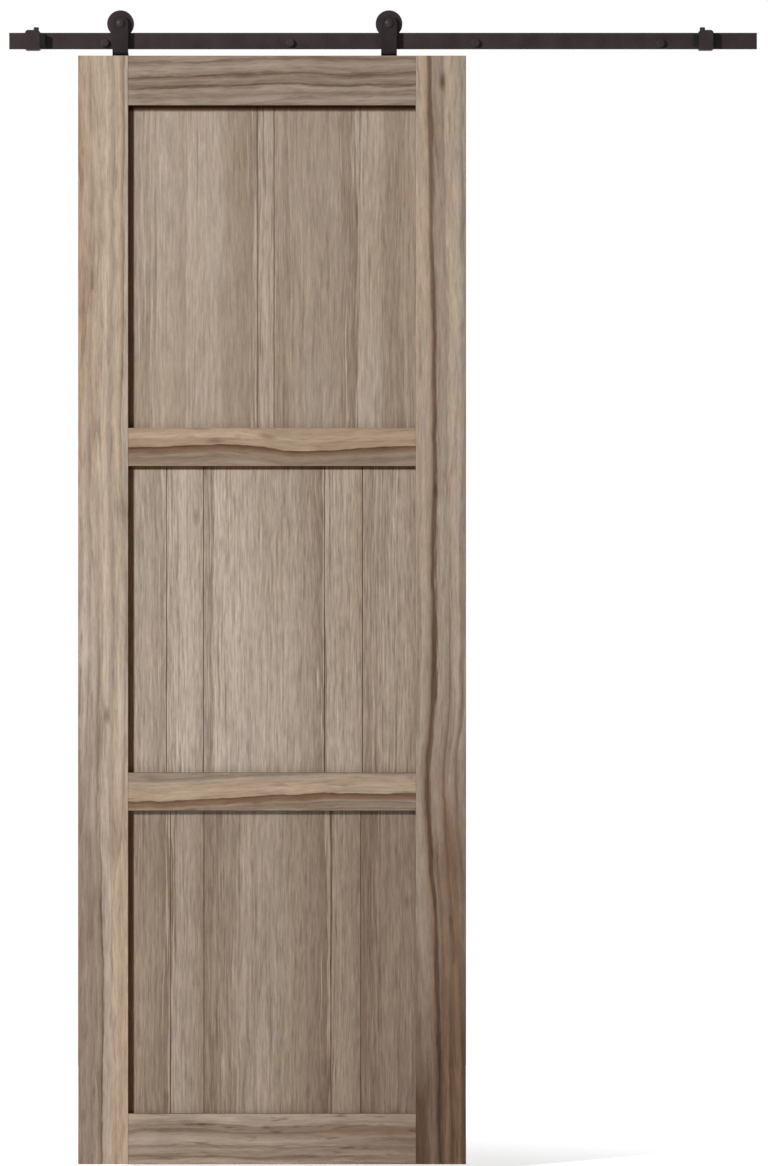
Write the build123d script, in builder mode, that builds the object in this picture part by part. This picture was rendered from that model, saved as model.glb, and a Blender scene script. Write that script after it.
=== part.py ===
"""Sliding barn door: a three-panel leaf that hangs from a flat track on two grooved rollers.

Millimetres. x runs along the track, y into the wall, z up. The origin lies on the wall, on the line
of the wall screws, halfway along the track.
"""

import os

from build123d import *

os.makedirs("parts", exist_ok=True)

# Track and its wall fixings
track_length = 1372
track_height = 30
track_thickness = 6
track_ease = 0.6
fixing_inset = 176
fixing_drop = 4
fixing_hole_clearance = 0.3
spacer_length = 30
spacer_radius = 9
spacer_ease = 0.6
lag_radius = 4
lag_stud_radius = 3.6
lag_stud_length = 25.4
lag_tip_length = 7
lag_head_flats = 13
lag_head_height = 5.3
lag_head_ease = 0.7
lag_washer_radius = 8
lag_washer_thickness = 1.6

# Leaf
leaf_width = 711
leaf_height = 2032
leaf_thickness = 40
leaf_park_inset = 127
leaf_drop = 13
stile_width = 92
top_rail_height = 91
mid_rail_height = 70
bottom_rail_height = 93
upper_mid_level = 1314.6
lower_mid_level = 683
arris = 0.8
panel_thickness = 14
panel_groove_depth = 10
panel_play = 1.2
joint_clearance = 0.1
tenon_play = 0.5
stave_line_width = 1.8
stave_line_depth = 0.9
guide_groove_width = 8
guide_groove_depth = 20
dowel_radius = 5
dowel_length = 100
dowel_clearance = 0.05
dowel_margin = 3

# Joint lines between the staves, as shares of the clear width between the stiles
upper_stave_shares = (0.448, 0.507)
middle_stave_shares = (0.132, 0.261, 0.682, 0.815)
lower_stave_shares = (0.146, 0.263, 0.705, 0.809)

# Dowel pairs, as shares of the solid wood of each rail
dowel_shares = (0.25, 0.75)

# Roller hangers
left_hanger_inset = 77.3
right_hanger_inset = 141.1
strap_width = 29
strap_thickness = 5
strap_bend_radius = 4
strap_to_track = 9
strap_ease = 0.5
foot_length = 34
foot_screw_shares = (0.27, 0.77)
foot_screw_radius = 2.1
foot_screw_head_radius = 4.2
foot_screw_length = 40
foot_screw_tip = 5
foot_hole_clearance = 0.2
countersink_angle = 90
wheel_radius = 24.5
wheel_width = 16
wheel_rim_ease = 1.2
tread_radius = 16.2
tread_lift = 0.3
tread_side_clearance = 0.8
tread_flare = 0.8
wheel_eye_radius = 8
bearing_radius = 11
bearing_width = 7
bearing_inner_radius = 5.9
bearing_running_gap = 0.08
press_gap = 0.02
shield_inset = 0.5
shield_radius = 9.3
axle_radius = 4
axle_clearance = 0.08
axle_head_radius = 8
axle_head_height = 5
axle_head_rim = 1.6
axle_neck_width = 8
axle_neck_clearance = 0.1
axle_end = 1.5
bush_collar_radius = 7.4
bush_collar_length = 2.5
bush_nose_radius = 5.6
axle_washer_thickness = 1.5
axle_nut_flats = 13
axle_nut_height = 7.5
axle_nut_ease = 0.7

# End stops
left_stop_inset = 43.5
right_stop_inset = 94
stop_width = 27.5
stop_front_wall = 17
stop_back_wall = 6
stop_top_wall = 4
stop_bottom_wall = 2.6
stop_top_corner = 3.6
stop_bottom_corner = 2
stop_edge = 0.8
stop_fit = 0.2
bumper_length = 10.5
bumper_height = 24
bumper_width = 11
bumper_corner = 3
bumper_end_ease = 2.5
bumper_stem_radius = 4
bumper_stem_length = 9
set_screw_radius = 3
set_screw_offset = 6
set_screw_head_radius = 5
set_screw_head_height = 6
set_screw_head_ease = 0.5
set_screw_key_flats = 5
set_screw_key_depth = 3

# Track levels
track_y = -(spacer_length + track_thickness / 2)
track_front = track_y - track_thickness / 2
track_back = track_y + track_thickness / 2
track_top = fixing_drop + track_height / 2
track_bottom = fixing_drop - track_height / 2
fixing_pitch = (track_length - 2 * fixing_inset) / 3
fixing_xs = (-1.5 * fixing_pitch, -fixing_pitch / 2, fixing_pitch / 2, 1.5 * fixing_pitch)
lag_head_back = track_front - lag_washer_thickness

# Leaf levels
leaf_left = leaf_park_inset - track_length / 2
leaf_right = leaf_left + leaf_width
leaf_middle = (leaf_left + leaf_right) / 2
leaf_top = track_bottom - leaf_drop
leaf_bottom = leaf_top - leaf_height
clear_width = leaf_width - 2 * stile_width
groove_width = panel_thickness + 2 * joint_clearance
tenon_length = panel_groove_depth - tenon_play
upper_mid_z = leaf_bottom + upper_mid_level
lower_mid_z = leaf_bottom + lower_mid_level
top_opening_z = leaf_top - top_rail_height
bottom_opening_z = leaf_bottom + bottom_rail_height

# Hanger levels, from the front of the strap to the back of the nut
hangers = (("left", leaf_left + left_hanger_inset), ("right", leaf_right - right_hanger_inset))
strap_back = track_front - strap_to_track
strap_front = strap_back - strap_thickness
axle_z = track_top + tread_lift + tread_radius
bearing_front = track_y - bearing_width / 2
bearing_back = track_y + bearing_width / 2
nut_front = bearing_back + axle_washer_thickness
nut_back = nut_front + axle_nut_height
neck_slot_width = axle_neck_width + 2 * axle_neck_clearance
foot_flat_front = strap_back + strap_bend_radius
foot_flat_length = foot_length - strap_thickness - strap_bend_radius
foot_screw_ys = [foot_flat_front + share * foot_flat_length for share in foot_screw_shares]
foot_screw_points = [(x, y) for side, x in hangers for y in foot_screw_ys]
foot_screw_depth = foot_screw_length - strap_thickness

# Dowel levels: solid wood between the screws or grooves and the panel grooves
top_dowel_low = top_opening_z + panel_groove_depth + dowel_margin
top_dowel_high = leaf_top - foot_screw_depth - dowel_margin
bottom_dowel_low = leaf_bottom + guide_groove_depth + dowel_margin
bottom_dowel_high = bottom_opening_z - panel_groove_depth - dowel_margin
mid_solid_half = mid_rail_height / 2 - panel_groove_depth
dowel_spans = (
    (top_dowel_low, top_dowel_high),
    (upper_mid_z - mid_solid_half, upper_mid_z + mid_solid_half),
    (lower_mid_z - mid_solid_half, lower_mid_z + mid_solid_half),
    (bottom_dowel_low, bottom_dowel_high),
)
dowel_zs = [low + share * (high - low) for low, high in dowel_spans for share in dowel_shares]
shoulder_xs = (leaf_left + stile_width, leaf_right - stile_width)
dowel_points = [(x, track_y, z) for x in shoulder_xs for z in dowel_zs]

# End stop levels
stops = (
    ("left", 1, -track_length / 2 + left_stop_inset),
    ("right", -1, track_length / 2 - right_stop_inset),
)
stop_front = track_front - stop_front_wall
stop_back = track_back + stop_back_wall
stop_top = track_top + stop_fit + stop_top_wall
stop_bottom = track_bottom - stop_bottom_wall
bumper_y = (strap_front + strap_back) / 2


# Flat track with a row of screw holes
with BuildPart() as track_rail:
    with BuildSketch(Plane.XZ.offset(spacer_length)):
        with Locations((0, fixing_drop)):
            Rectangle(track_length, track_height)
        with Locations(*[(x, 0) for x in fixing_xs]):
            Circle(lag_radius + fixing_hole_clearance, mode=Mode.SUBTRACT)
    extrude(amount=track_thickness)
    chamfer(track_rail.edges().filter_by(Axis.X), track_ease)
track_rail.part.label = "track_rail"
export_step(track_rail.part, "parts/track_rail.step")

# Tubes between the track and the wall
for number, x in enumerate(fixing_xs, start=1):
    with BuildPart() as wall_spacer:
        with BuildSketch(Plane.XZ):
            with Locations((x, 0)):
                Circle(spacer_radius)
                Circle(lag_radius + fixing_hole_clearance, mode=Mode.SUBTRACT)
        extrude(amount=spacer_length)
        chamfer(wall_spacer.edges().filter_by(GeomType.CIRCLE).sort_by(SortBy.RADIUS)[-2:], spacer_ease)
    wall_spacer.part.label = f"wall_spacer_{number}"
    export_step(wall_spacer.part, f"parts/wall_spacer_{number}.step")

# Lag screws: hex head, plain shank through the spacer, free stud beyond the wall face
with BuildPart() as lag_screw:
    with BuildSketch(Plane.YZ):
        with BuildLine():
            Polyline(
                (lag_head_back, 0),
                (lag_head_back, lag_radius),
                (0, lag_radius),
                (0, lag_stud_radius),
                (lag_stud_length, lag_stud_radius),
                (lag_stud_length + lag_tip_length, 0),
                close=True,
            )
        make_face()
    revolve(axis=Axis.Y)
    with BuildSketch(Plane.XZ.offset(-lag_head_back)):
        RegularPolygon(lag_head_flats / 2, 6, major_radius=False)
    extrude(amount=lag_head_height)
    chamfer(lag_screw.faces().sort_by(Axis.Y)[0].edges(), lag_head_ease)
with BuildPart() as lag_screws:
    with Locations(*[(x, 0, 0) for x in fixing_xs]):
        add(lag_screw.part)
lag_screws.part.label = "lag_screws"
export_step(lag_screws.part, "parts/lag_screws.step")

with BuildPart() as lag_washers:
    with BuildSketch(Plane.XZ.offset(-track_front)):
        with Locations(*[(x, 0) for x in fixing_xs]):
            Circle(lag_washer_radius)
            Circle(lag_radius + fixing_hole_clearance, mode=Mode.SUBTRACT)
    extrude(amount=lag_washer_thickness)
lag_washers.part.label = "lag_washers"
export_step(lag_washers.part, "parts/lag_washers.step")

# End stops: a sleeve around the track, a rubber bumper in line with the straps
for side, inward, x in stops:
    inner_x = x + inward * stop_width / 2
    with BuildPart() as end_stop:
        with BuildSketch(Plane.XZ.offset(-stop_back)) as stop_outline:
            with Locations((x, (stop_top + stop_bottom) / 2)):
                Rectangle(stop_width, stop_top - stop_bottom)
            chamfer(stop_outline.vertices().group_by(Axis.Y)[-1], stop_top_corner)
            chamfer(stop_outline.vertices().group_by(Axis.Y)[0], stop_bottom_corner)
        extrude(amount=stop_back - stop_front)
        chamfer(end_stop.faces().sort_by(Axis.Y)[0].edges(), stop_edge)
        with BuildSketch(Plane.YZ.offset(x - stop_width / 2)):
            with Locations((track_y, fixing_drop + stop_fit / 2)):
                Rectangle(track_thickness + 2 * stop_fit, track_height + stop_fit)
        extrude(amount=stop_width, mode=Mode.SUBTRACT)
        with Locations((x + inward * set_screw_offset, track_y, stop_top)):
            Hole(set_screw_radius, depth=stop_top_wall + stop_fit)
        with BuildSketch(Plane.YZ.offset(inner_x)):
            with Locations((bumper_y, fixing_drop)):
                Circle(bumper_stem_radius)
        extrude(amount=-inward * bumper_stem_length, mode=Mode.SUBTRACT)
    end_stop.part.label = f"end_stop_{side}"
    export_step(end_stop.part, f"parts/end_stop_{side}.step")

    with BuildPart() as stop_bumper:
        with BuildSketch(Plane.YZ.offset(inner_x)):
            with Locations((bumper_y, fixing_drop)):
                RectangleRounded(bumper_width, bumper_height, bumper_corner)
        extrude(amount=inward * bumper_length)
        fillet(stop_bumper.faces().sort_by(Axis.X)[-1 if inward > 0 else 0].edges(), bumper_end_ease)
        with BuildSketch(Plane.YZ.offset(inner_x)):
            with Locations((bumper_y, fixing_drop)):
                Circle(bumper_stem_radius)
        extrude(amount=-inward * bumper_stem_length)
    stop_bumper.part.label = f"stop_bumper_{side}"
    export_step(stop_bumper.part, f"parts/stop_bumper_{side}.step")

# Clamp screws on top of the stops, with a key socket
with BuildPart() as stop_set_screws:
    with BuildSketch(Plane.XY.offset(stop_top)):
        with Locations(*[(x + inward * set_screw_offset, track_y) for side, inward, x in stops]):
            Circle(set_screw_head_radius)
    extrude(amount=set_screw_head_height)
    chamfer(stop_set_screws.edges().group_by(Axis.Z)[-1], set_screw_head_ease)
    with BuildSketch(Plane.XY.offset(stop_top + set_screw_head_height)):
        with Locations(*[(x + inward * set_screw_offset, track_y) for side, inward, x in stops]):
            RegularPolygon(set_screw_key_flats / 2, 6, major_radius=False)
    extrude(amount=-set_screw_key_depth, mode=Mode.SUBTRACT)
    with BuildSketch(Plane.XY.offset(stop_top)):
        with Locations(*[(x + inward * set_screw_offset, track_y) for side, inward, x in stops]):
            Circle(set_screw_radius)
    extrude(amount=-(stop_top - track_top))
stop_set_screws.part.label = "stop_set_screws"
export_step(stop_set_screws.part, "parts/stop_set_screws.step")

# Borings and slots that run through several pieces of the leaf
with BuildPart() as leaf_borings:
    with Locations((leaf_middle, track_y, leaf_bottom)):
        Box(
            leaf_width,
            guide_groove_width,
            guide_groove_depth,
            align=(Align.CENTER, Align.CENTER, Align.MIN),
        )
    with Locations(*dowel_points):
        Cylinder(
            dowel_radius + dowel_clearance,
            dowel_length + 2 * dowel_clearance,
            rotation=(0, 90, 0),
        )
    with Locations(*[(x, y, leaf_top) for x, y in foot_screw_points]):
        Cylinder(
            foot_screw_radius + press_gap,
            foot_screw_depth,
            align=(Align.CENTER, Align.CENTER, Align.MAX),
        )

# Stiles, grooved along the inner edge
for side, inward, outer_x in (("left", 1, leaf_left), ("right", -1, leaf_right)):
    with BuildPart() as stile:
        with BuildSketch(Plane.XY.offset(leaf_bottom)) as stile_section:
            with Locations((outer_x + inward * stile_width / 2, track_y)):
                Rectangle(stile_width, leaf_thickness)
            chamfer(stile_section.vertices(), arris)
            with Locations((outer_x + inward * (stile_width - panel_groove_depth / 2), track_y)):
                Rectangle(panel_groove_depth, groove_width, mode=Mode.SUBTRACT)
        extrude(amount=leaf_height)
        add(leaf_borings.part, mode=Mode.SUBTRACT)
    stile.part.label = f"{side}_stile"
    export_step(stile.part, f"parts/{side}_stile.step")

# Cross rails: two grooved cheeks, and a core whose ends are the stub tenons
rails = (
    ("top_rail", top_opening_z, leaf_top, top_opening_z + panel_groove_depth, leaf_top),
    (
        "upper_mid_rail",
        upper_mid_z - mid_rail_height / 2,
        upper_mid_z + mid_rail_height / 2,
        upper_mid_z - mid_solid_half,
        upper_mid_z + mid_solid_half,
    ),
    (
        "lower_mid_rail",
        lower_mid_z - mid_rail_height / 2,
        lower_mid_z + mid_rail_height / 2,
        lower_mid_z - mid_solid_half,
        lower_mid_z + mid_solid_half,
    ),
    ("bottom_rail", leaf_bottom, bottom_opening_z, leaf_bottom, bottom_opening_z - panel_groove_depth),
)
for name, low, high, core_low, core_high in rails:
    with BuildPart() as cross_rail:
        with BuildSketch(Plane.YZ.offset(shoulder_xs[0])) as rail_section:
            with Locations((track_y, (low + high) / 2)):
                Rectangle(leaf_thickness, high - low)
                chamfer(rail_section.vertices(), arris)
                Rectangle(groove_width, high - low, mode=Mode.SUBTRACT)
            with Locations((track_y, (core_low + core_high) / 2)):
                Rectangle(groove_width, core_high - core_low)
        extrude(amount=clear_width)
        with BuildSketch(Plane.YZ.offset(shoulder_xs[0] - tenon_length)):
            with Locations((track_y, (core_low + core_high) / 2)):
                Rectangle(panel_thickness, core_high - core_low)
        extrude(amount=clear_width + 2 * tenon_length)
        add(leaf_borings.part, mode=Mode.SUBTRACT)
    cross_rail.part.label = name
    export_step(cross_rail.part, f"parts/{name}.step")

# Panels of upright staves, loose in their grooves
panel_reach = panel_groove_depth - panel_play
panels = (
    ("upper_panel", upper_mid_z + mid_rail_height / 2, top_opening_z, upper_stave_shares),
    (
        "middle_panel",
        lower_mid_z + mid_rail_height / 2,
        upper_mid_z - mid_rail_height / 2,
        middle_stave_shares,
    ),
    ("lower_panel", bottom_opening_z, lower_mid_z - mid_rail_height / 2, lower_stave_shares),
)
for name, low, high, shares in panels:
    stave_xs = [shoulder_xs[0] + share * clear_width for share in shares]
    with BuildPart() as panel:
        with BuildSketch(Plane.XY.offset(low - panel_reach)):
            with Locations((leaf_middle, track_y)):
                Rectangle(clear_width + 2 * panel_reach, panel_thickness)
            with Locations(*[(x, track_y - panel_thickness / 2) for x in stave_xs]):
                Polygon(
                    (-stave_line_width / 2, 0),
                    (stave_line_width / 2, 0),
                    (0, stave_line_depth),
                    align=None,
                    mode=Mode.SUBTRACT,
                )
            with Locations(*[(x, track_y + panel_thickness / 2) for x in stave_xs]):
                Polygon(
                    (-stave_line_width / 2, 0),
                    (0, -stave_line_depth),
                    (stave_line_width / 2, 0),
                    align=None,
                    mode=Mode.SUBTRACT,
                )
        extrude(amount=high - low + 2 * panel_reach)
    panel.part.label = name
    export_step(panel.part, f"parts/{name}.step")

with BuildPart() as frame_dowels:
    with Locations(*dowel_points):
        Cylinder(dowel_radius, dowel_length, rotation=(0, 90, 0))
frame_dowels.part.label = "frame_dowels"
export_step(frame_dowels.part, "parts/frame_dowels.step")

# Roller hangers
bend_z = leaf_top + strap_thickness + strap_bend_radius
for side, x in hangers:
    axle = Axis((x, 0, axle_z), (0, 1, 0))

    # Flat bar with a round head, bent back at the bottom into a foot on the leaf
    with BuildPart() as hanger_strap:
        with BuildSketch(Plane.XZ.offset(-strap_back)):
            with Locations((x, axle_z)):
                Circle(strap_width / 2)
            with Locations((x, (axle_z + bend_z) / 2)):
                Rectangle(strap_width, axle_z - bend_z)
        extrude(amount=strap_thickness)
        with BuildSketch(Plane.YZ.offset(x - strap_width / 2)):
            with BuildLine():
                outer = CenterArc((foot_flat_front, bend_z), strap_bend_radius + strap_thickness, 180, 90)
                inner = CenterArc((foot_flat_front, bend_z), strap_bend_radius, 180, 90)
                Polyline(
                    outer @ 1,
                    (strap_front + foot_length, leaf_top),
                    (strap_front + foot_length, leaf_top + strap_thickness),
                    inner @ 1,
                )
                Line(outer @ 0, inner @ 0)
            make_face()
        extrude(amount=strap_width)
        chamfer(hanger_strap.faces().sort_by(Axis.Y)[0].edges().filter_by(GeomType.CIRCLE), strap_ease)
        with BuildSketch(Plane.XZ.offset(-strap_back)):
            with Locations((x, axle_z)):
                Rectangle(neck_slot_width, neck_slot_width)
        extrude(amount=strap_thickness, mode=Mode.SUBTRACT)
        with Locations(*[(x, y, leaf_top + strap_thickness) for y in foot_screw_ys]):
            CounterSinkHole(
                foot_screw_radius + foot_hole_clearance,
                foot_screw_head_radius + press_gap,
                depth=strap_thickness,
                counter_sink_angle=countersink_angle,
            )
    hanger_strap.part.label = f"hanger_strap_{side}"
    export_step(hanger_strap.part, f"parts/hanger_strap_{side}.step")

    # Countersunk screws through the foot into the top of the leaf
    with BuildPart() as foot_screw:
        with BuildSketch(Plane.XZ):
            with BuildLine():
                Polyline(
                    (0, 0),
                    (foot_screw_head_radius, 0),
                    (foot_screw_radius, foot_screw_radius - foot_screw_head_radius),
                    (foot_screw_radius, foot_screw_tip - foot_screw_length),
                    (0, -foot_screw_length),
                    close=True,
                )
            make_face()
        revolve(axis=Axis.Z)
    with BuildPart() as foot_screws:
        with Locations(*[(x, y, leaf_top + strap_thickness) for y in foot_screw_ys]):
            add(foot_screw.part)
    foot_screws.part.label = f"foot_screws_{side}"
    export_step(foot_screws.part, f"parts/foot_screws_{side}.step")

    # Round-headed axle bolt with a square neck in the strap
    with BuildPart() as axle_bolt:
        with BuildSketch(Plane.YZ.offset(x)):
            with BuildLine():
                dome = TangentArc(
                    (strap_front - axle_head_height, axle_z),
                    (strap_front - axle_head_rim, axle_z + axle_head_radius),
                    tangent=(0, 1),
                )
                Polyline(
                    dome @ 1,
                    (strap_front, axle_z + axle_head_radius),
                    (strap_front, axle_z + axle_radius),
                    (nut_back + axle_end, axle_z + axle_radius),
                    (nut_back + axle_end, axle_z),
                    dome @ 0,
                )
            make_face()
        revolve(axis=axle)
        with BuildSketch(Plane.XZ.offset(-strap_back)):
            with Locations((x, axle_z)):
                Rectangle(axle_neck_width, axle_neck_width)
        extrude(amount=strap_thickness)
    axle_bolt.part.label = f"axle_bolt_{side}"
    export_step(axle_bolt.part, f"parts/axle_bolt_{side}.step")

    # Bush between the strap and the inner ring, and a washer behind the ring
    axle_bore = axle_z + axle_radius + axle_clearance
    with BuildPart() as axle_bush:
        with BuildSketch(Plane.YZ.offset(x)):
            with BuildLine():
                Polyline(
                    (strap_back, axle_bore),
                    (strap_back, axle_z + bush_collar_radius),
                    (strap_back + bush_collar_length, axle_z + bush_collar_radius),
                    (strap_back + bush_collar_length, axle_z + bush_nose_radius),
                    (bearing_front, axle_z + bush_nose_radius),
                    (bearing_front, axle_bore),
                    close=True,
                )
            make_face()
        revolve(axis=axle)
    axle_bush.part.label = f"axle_bush_{side}"
    export_step(axle_bush.part, f"parts/axle_bush_{side}.step")

    with BuildPart() as axle_washer:
        with BuildSketch(Plane.XZ.offset(-nut_front)):
            with Locations((x, axle_z)):
                Circle(bush_nose_radius)
                Circle(axle_radius + axle_clearance, mode=Mode.SUBTRACT)
        extrude(amount=axle_washer_thickness)
    axle_washer.part.label = f"axle_washer_{side}"
    export_step(axle_washer.part, f"parts/axle_washer_{side}.step")

    with BuildPart() as axle_nut:
        with BuildSketch(Plane.XZ.offset(-nut_back)):
            with Locations((x, axle_z)):
                RegularPolygon(axle_nut_flats / 2, 6, major_radius=False)
        extrude(amount=axle_nut_height)
        chamfer(axle_nut.faces().sort_by(Axis.Y)[-1].edges(), axle_nut_ease)
        with BuildSketch(Plane.XZ.offset(-nut_back)):
            with Locations((x, axle_z)):
                Circle(axle_radius + press_gap)
        extrude(amount=axle_nut_height, mode=Mode.SUBTRACT)
    axle_nut.part.label = f"axle_nut_{side}"
    export_step(axle_nut.part, f"parts/axle_nut_{side}.step")

    # Sealed bearing: the inner ring stays on the axle, the outer ring turns with the wheel
    with BuildPart() as bearing_inner_ring:
        with BuildSketch(Plane.XZ.offset(-bearing_back)):
            with Locations((x, axle_z)):
                Circle(bearing_inner_radius)
                Circle(axle_radius + axle_clearance, mode=Mode.SUBTRACT)
        extrude(amount=bearing_width)
    bearing_inner_ring.part.label = f"bearing_inner_ring_{side}"
    export_step(bearing_inner_ring.part, f"parts/bearing_inner_ring_{side}.step")

    ring_bore = axle_z + bearing_inner_radius + bearing_running_gap
    with BuildPart() as bearing_outer_ring:
        with BuildSketch(Plane.YZ.offset(x)):
            with BuildLine():
                Polyline(
                    (bearing_front + shield_inset, ring_bore),
                    (bearing_front + shield_inset, axle_z + shield_radius),
                    (bearing_front, axle_z + shield_radius),
                    (bearing_front, axle_z + bearing_radius),
                    (bearing_back, axle_z + bearing_radius),
                    (bearing_back, axle_z + shield_radius),
                    (bearing_back - shield_inset, axle_z + shield_radius),
                    (bearing_back - shield_inset, ring_bore),
                    close=True,
                )
            make_face()
        revolve(axis=axle)
    bearing_outer_ring.part.label = f"bearing_outer_ring_{side}"
    export_step(bearing_outer_ring.part, f"parts/bearing_outer_ring_{side}.step")

    # Grooved wheel: flanges each side of the track, a bearing seat open to the back
    wheel_front = track_y - wheel_width / 2
    wheel_back = track_y + wheel_width / 2
    tread_half = track_thickness / 2 + tread_side_clearance
    mouth_half = tread_half + tread_flare
    seat_z = axle_z + bearing_radius + press_gap
    with BuildPart() as wheel:
        with BuildSketch(Plane.YZ.offset(x)):
            with BuildLine():
                Polyline(
                    (wheel_front, axle_z + wheel_eye_radius),
                    (wheel_front, axle_z + wheel_radius),
                    (track_y - mouth_half, axle_z + wheel_radius),
                    (track_y - tread_half, axle_z + tread_radius),
                    (track_y + tread_half, axle_z + tread_radius),
                    (track_y + mouth_half, axle_z + wheel_radius),
                    (wheel_back, axle_z + wheel_radius),
                    (wheel_back, seat_z),
                    (bearing_front, seat_z),
                    (bearing_front, axle_z + wheel_eye_radius),
                    close=True,
                )
            make_face()
        revolve(axis=axle)
        rim_edges = wheel.edges().filter_by(GeomType.CIRCLE).group_by(SortBy.RADIUS)[-1]
        chamfer(rim_edges, wheel_rim_ease)
    wheel.part.label = f"wheel_{side}"
    export_step(wheel.part, f"parts/wheel_{side}.step")
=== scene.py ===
"""Finishes, fine pieces and stage for a sliding barn door on a flat steel track.

Metres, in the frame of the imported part: x along the track, y into the wall, z up.
"""

import math

import bmesh
import bpy
from bpy.props import FloatProperty, FloatVectorProperty, IntProperty, PointerProperty
from mathutils import Matrix, Vector


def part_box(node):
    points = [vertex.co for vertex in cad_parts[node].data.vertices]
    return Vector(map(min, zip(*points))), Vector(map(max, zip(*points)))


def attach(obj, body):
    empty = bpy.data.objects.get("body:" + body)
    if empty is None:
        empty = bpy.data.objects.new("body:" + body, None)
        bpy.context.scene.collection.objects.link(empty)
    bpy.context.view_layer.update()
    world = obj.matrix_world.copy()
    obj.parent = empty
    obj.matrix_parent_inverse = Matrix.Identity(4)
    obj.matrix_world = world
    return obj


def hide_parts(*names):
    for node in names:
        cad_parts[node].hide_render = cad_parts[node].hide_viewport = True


bl_info = {
    "name": "Sliding barn door",
    "version": (1, 0, 0),
    "blender": (4, 5, 0),
    "location": "3D View > Sidebar > Barn Door",
    "description": "Weathered wood, black steel, screws and a studio for a sliding barn door",
    "category": "Object",
}

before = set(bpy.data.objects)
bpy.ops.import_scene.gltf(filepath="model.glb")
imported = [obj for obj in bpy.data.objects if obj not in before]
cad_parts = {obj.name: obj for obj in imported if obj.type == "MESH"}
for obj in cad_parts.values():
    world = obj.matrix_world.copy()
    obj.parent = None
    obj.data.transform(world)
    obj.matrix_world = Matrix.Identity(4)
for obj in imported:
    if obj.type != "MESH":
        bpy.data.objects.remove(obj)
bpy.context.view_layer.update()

MM = 0.001
SIDES = ("left", "right")
LEAF_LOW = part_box("left_stile")[0]
LEAF_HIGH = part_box("right_stile")[1]
OPENING_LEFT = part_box("left_stile")[1].x
OPENING_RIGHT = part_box("right_stile")[0].x
WALL_SPACERS = [f"wall_spacer_{number}" for number in range(1, 5)]
FACE_FORWARD = Matrix.Rotation(math.pi / 2, 4, "X")
WHITE = (1.0, 1.0, 1.0, 1.0)

# Noises of the grain: counts in a metre across and along it, detail and roughness
GRAIN_NOISES = {
    "drift": (9, 2.6, 2, 0.55),
    "wobble": (22, 19, 3, 0.55),
    "hair": (2300, 24, 2, 0.6),
    "fine": (760, 15, 2, 0.6),
    "fibre": (310, 5.5, 2, 0.6),
    "cord": (120, 2.4, 3, 0.6),
    "fleck": (270, 30, 2, 0.6),
    "mottle": (62, 15, 3, 0.6),
    "broad": (9, 1.6, 3, 0.55),
    "step": (25, 2.0, 2, 0.55),
    "ring": (13, 0.55, 1.5, 0.55),
    "zone": (14, 2.2, 2, 0.55),
    "lens": (95, 5.0, 2.5, 0.55),
    "pore": (380, 19, 2, 0.55),
}

# Noises that a plan's breaks shorten, and noises that change the tone
BROKEN_NOISES = ("hair", "fine", "fibre", "cord", "zone", "lens")
THREADS = ("hair", "fine", "fibre", "cord", "fleck", "mottle", "broad")

# Cells in a metre, across, through and along the grain, with a pin knot in each
KNOT_CELLS = (11, 11, 4)

# How the growth rings lean, and curve per metre, through the thickness of a piece
RING_LEAN = 0.45
RING_CURVE = 6.0

# Metres that a seed of one moves a piece through the noise, across and along the grain
SEED_ACROSS = 1.73
SEED_ALONG = 2.37

# Specular level of brushed wood and powder coat, and of rubber
DULL_SHINE = 0.12
RUBBER_SHINE = 0.15


def tone(red, green, blue):
    """A colour given as screen values from 0 to 255, made linear."""
    out = []
    for value in (red, green, blue):
        share = value / 255
        out.append(share / 12.92 if share <= 0.04045 else ((share + 0.055) / 1.055) ** 2.4)
    return tuple(out)


# Growth bands by piece: mm across the grain from the middle (right or up), and a tone of WoodLook
LEFT_STILE_LOW = (
    (-46, "hazel"), (-31, "driftwood"), (-23, "hazel"), (-12, "driftwood"), (-6, "hazel"),
    (-3, "walnut"), (-1, "stone"), (9, "fawn"), (20, "sand"), (32, "tan"), (46, "sand"),
)
LEFT_STILE_MID = (
    (-46, "stone"), (-34, "pale_grey"), (-25, "stone"), (-17, "pale_grey"), (-9, "hazel"),
    (-6, "fawn"), (0, "cream"), (8, "pale_grey"), (18, "driftwood"), (22, "fawn"), (28, "cream"),
    (36, "pale_grey"), (40, "driftwood"), (46, "fawn"),
)
LEFT_STILE_HIGH = (
    (-46, "tan"), (-30, "sand"), (-22, "stone"), (-15, "sand"), (-4, "fawn"), (5, "cream"),
    (16, "stone"), (22, "fawn"), (30, "sand"), (37, "hazel"), (40, "fawn"), (46, "fawn"),
)
RIGHT_STILE_LOW = (
    (-50, "umber"), (-30, "umber"), (-20, "walnut"), (-12, "brown"), (-5, "walnut"),
    (-2, "umber"), (0, "bark"), (4, "umber"), (10, "walnut"), (16, "russet"), (22, "umber"),
    (28, "walnut"), (36, "russet"), (42, "umber"), (72, "umber"),
)
RIGHT_STILE_TURN = (
    (-50, "driftwood"), (-34, "hazel"), (-27, "stone"), (-18, "driftwood"), (-8, "hazel"),
    (-3, "russet"), (-1, "umber"), (2, "umber"), (5, "brown"), (13, "walnut"), (17, "russet"),
    (24, "brown"), (30, "walnut"), (34, "russet"), (42, "brown"), (72, "brown"),
)
RIGHT_STILE_MID = (
    (-50, "driftwood"), (-34, "fawn"), (-26, "hazel"), (-20, "fawn"), (-10, "stone"),
    (-5, "hazel"), (-2, "walnut"), (1, "umber"), (5, "walnut"), (8, "stone"), (16, "fawn"),
    (26, "stone"), (31, "brown"), (34, "stone"), (44, "fawn"), (52, "brown"), (58, "stone"),
    (72, "hazel"),
)
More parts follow.
